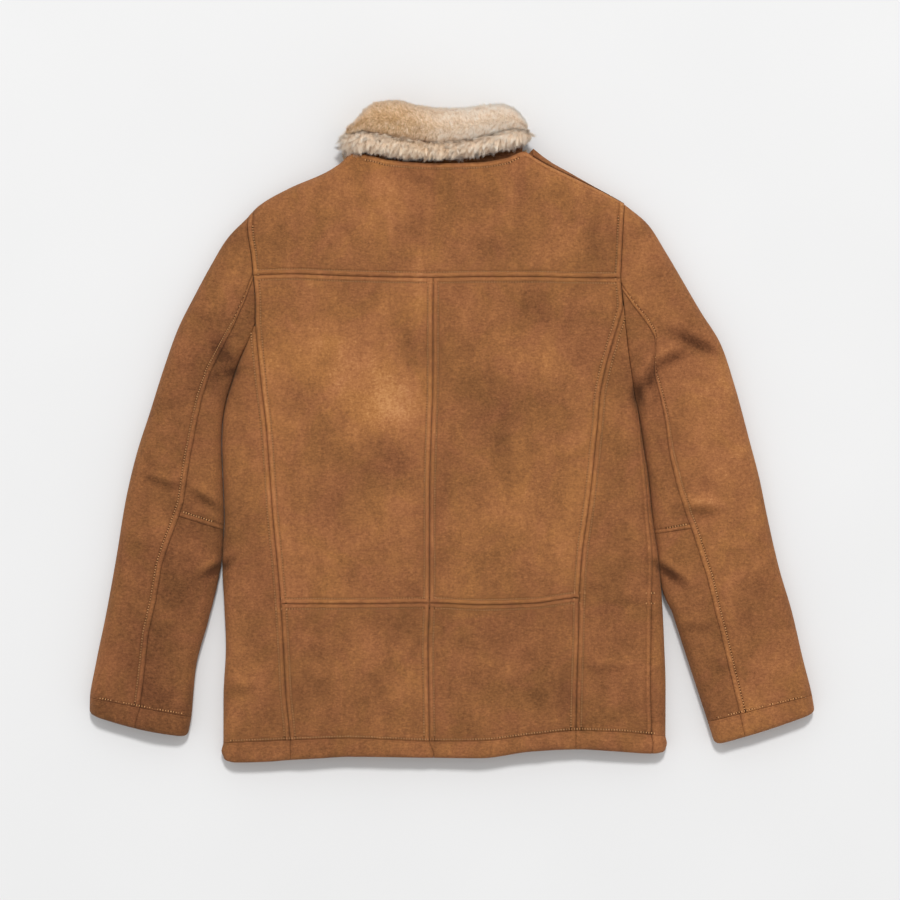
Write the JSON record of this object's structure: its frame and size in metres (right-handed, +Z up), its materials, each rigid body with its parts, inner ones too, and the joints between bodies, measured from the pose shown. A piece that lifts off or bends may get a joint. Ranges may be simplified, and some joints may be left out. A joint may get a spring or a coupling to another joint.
{
  "type": "shearling coat",
  "caption": "Hip-length shearling coat laid flat with its back up: panelled suede back with a yoke, set-in sleeves, banded hem and cuffs, and a rolled fur collar.",
  "frame": {"origin": "on the surface that the coat lies on, under the middle of its outline", "axes": "+Z up from that surface, out of the coat's back; +Y from the hem towards the collar; +X towards the wearer's right sleeve"},
  "size_m": [0.9265, 0.8442, 0.06],
  "materials": {
    "suede": "napped, matt",
    "fur": "long soft wool",
    "horn": "satin"
  },
  "bodies": {
    "root": {"back_yoke": "suede", "back_upper_left": "suede", "back_upper_right": "suede", "back_lower_left": "suede", "back_lower_right": "suede", "back_side_left": "suede", "back_side_right": "suede", "front_left": "suede", "front_right": "suede", "hem_back_left": "suede", "hem_back_right": "suede", "hem_back_side_left": "suede", "hem_back_side_right": "suede", "hem_front_left": "suede", "hem_front_right": "suede", "sleeve_left_outer": "suede", "sleeve_left_under_upper": "suede", "sleeve_left_under_lower": "suede", "cuff_left_outer": "suede", "cuff_left_under": "suede", "sleeve_right_outer": "suede", "sleeve_right_under_upper": "suede", "sleeve_right_under_lower": "suede", "cuff_right_outer": "suede", "cuff_right_under": "suede", "collar_stand": "suede", "collar_fall": "fur", "collar_edge": "fur", "collar_front_left": "fur", "collar_front_right": "fur", "button_1": "horn", "button_2": "horn", "button_3": "horn", "button_4": "horn"}
  },
  "joints": []
}
